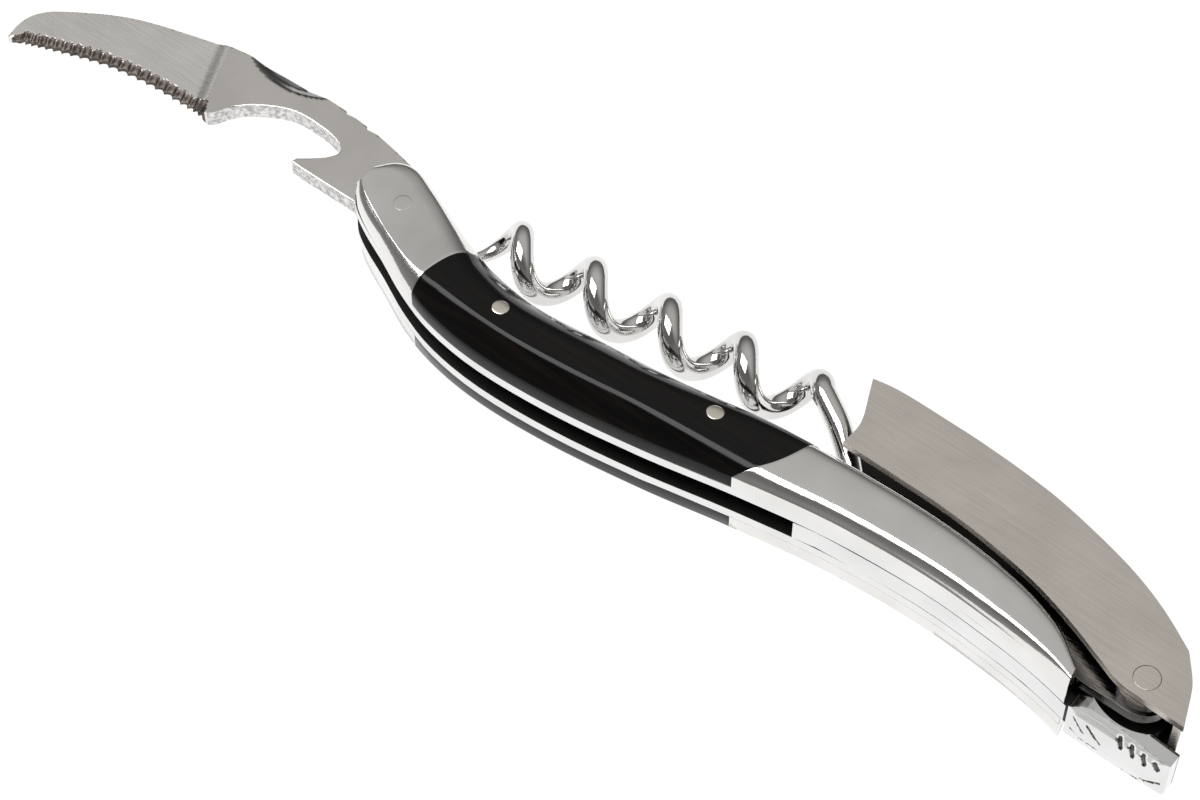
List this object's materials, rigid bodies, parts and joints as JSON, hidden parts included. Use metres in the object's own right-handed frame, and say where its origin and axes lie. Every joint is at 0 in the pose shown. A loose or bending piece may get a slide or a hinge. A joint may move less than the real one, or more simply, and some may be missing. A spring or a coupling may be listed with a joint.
{
  "type": "waiters corkscrew",
  "caption": "Folding waiter's corkscrew with a curved wood and steel handle, serrated foil cutter with cap lifter, open-coil worm and forked bottle lever.",
  "frame": {"origin": "centre of the rest pose's box on the ground, with the knife lying on its side", "axes": "+X along the handle towards the lever's pivot, +Y to the belly side where the worm and lever fold, +Z along every pivot pin"},
  "size_m": [0.1746, 0.026, 0.0158],
  "materials": {
    "liner_steel": "bright satin steel",
    "bolster_steel": "polished steel with fine hand-rubbed lines",
    "ebony": "polished near-black ebony",
    "rivet_nickel": "polished nickel silver",
    "spring_steel": "polished spring steel",
    "pin_steel": "plain turned steel",
    "blade_steel": "satin ground blade steel",
    "worm_steel": "polished steel wire",
    "lever_steel": "satin steel, slightly warm"
  },
  "bodies": {
    "handle": {"liner_top": "liner_steel", "liner_bottom": "liner_steel", "front_bolster_top": "bolster_steel", "front_bolster_bottom": "bolster_steel", "rear_bolster_top": "bolster_steel", "rear_bolster_bottom": "bolster_steel", "scale_top": "ebony", "scale_bottom": "ebony", "front_rivet_top": "rivet_nickel", "rear_rivet_top": "rivet_nickel", "front_rivet_bottom": "rivet_nickel", "rear_rivet_bottom": "rivet_nickel", "blade_pivot_pin": "bolster_steel", "blade_spring": "spring_steel", "spring_front_pin": "pin_steel", "spring_rear_pin": "pin_steel", "lever_spring": "spring_steel", "lever_spring_front_pin": "pin_steel", "lever_spring_rear_pin": "pin_steel", "worm_pin": "pin_steel", "lever_rivet": "lever_steel", "lever_washer_top": "pin_steel", "lever_washer_bottom": "pin_steel"},
    "blade": {"blade": "blade_steel"},
    "worm": {"worm": "worm_steel"},
    "lever": {"lever": "lever_steel"}
  },
  "joints": [
    {"name": "blade_fold", "type": "hinge", "parent": "handle", "child": "blade", "pos_m": [-0.0264, -0.00187, 0.0079], "axis": [0, 0, 1], "range_deg": [0, 173]},
    {"name": "worm_fold", "type": "hinge", "parent": "handle", "child": "worm", "pos_m": [0.0407, -0.00067, 0.0079], "axis": [0, 0, -1], "range_deg": [0, 90]},
    {"name": "lever_fold", "type": "hinge", "parent": "handle", "child": "lever", "pos_m": [0.0798, -0.00187, 0.0079], "axis": [0, 0, -1], "range_deg": [0, 110]}
  ]
}
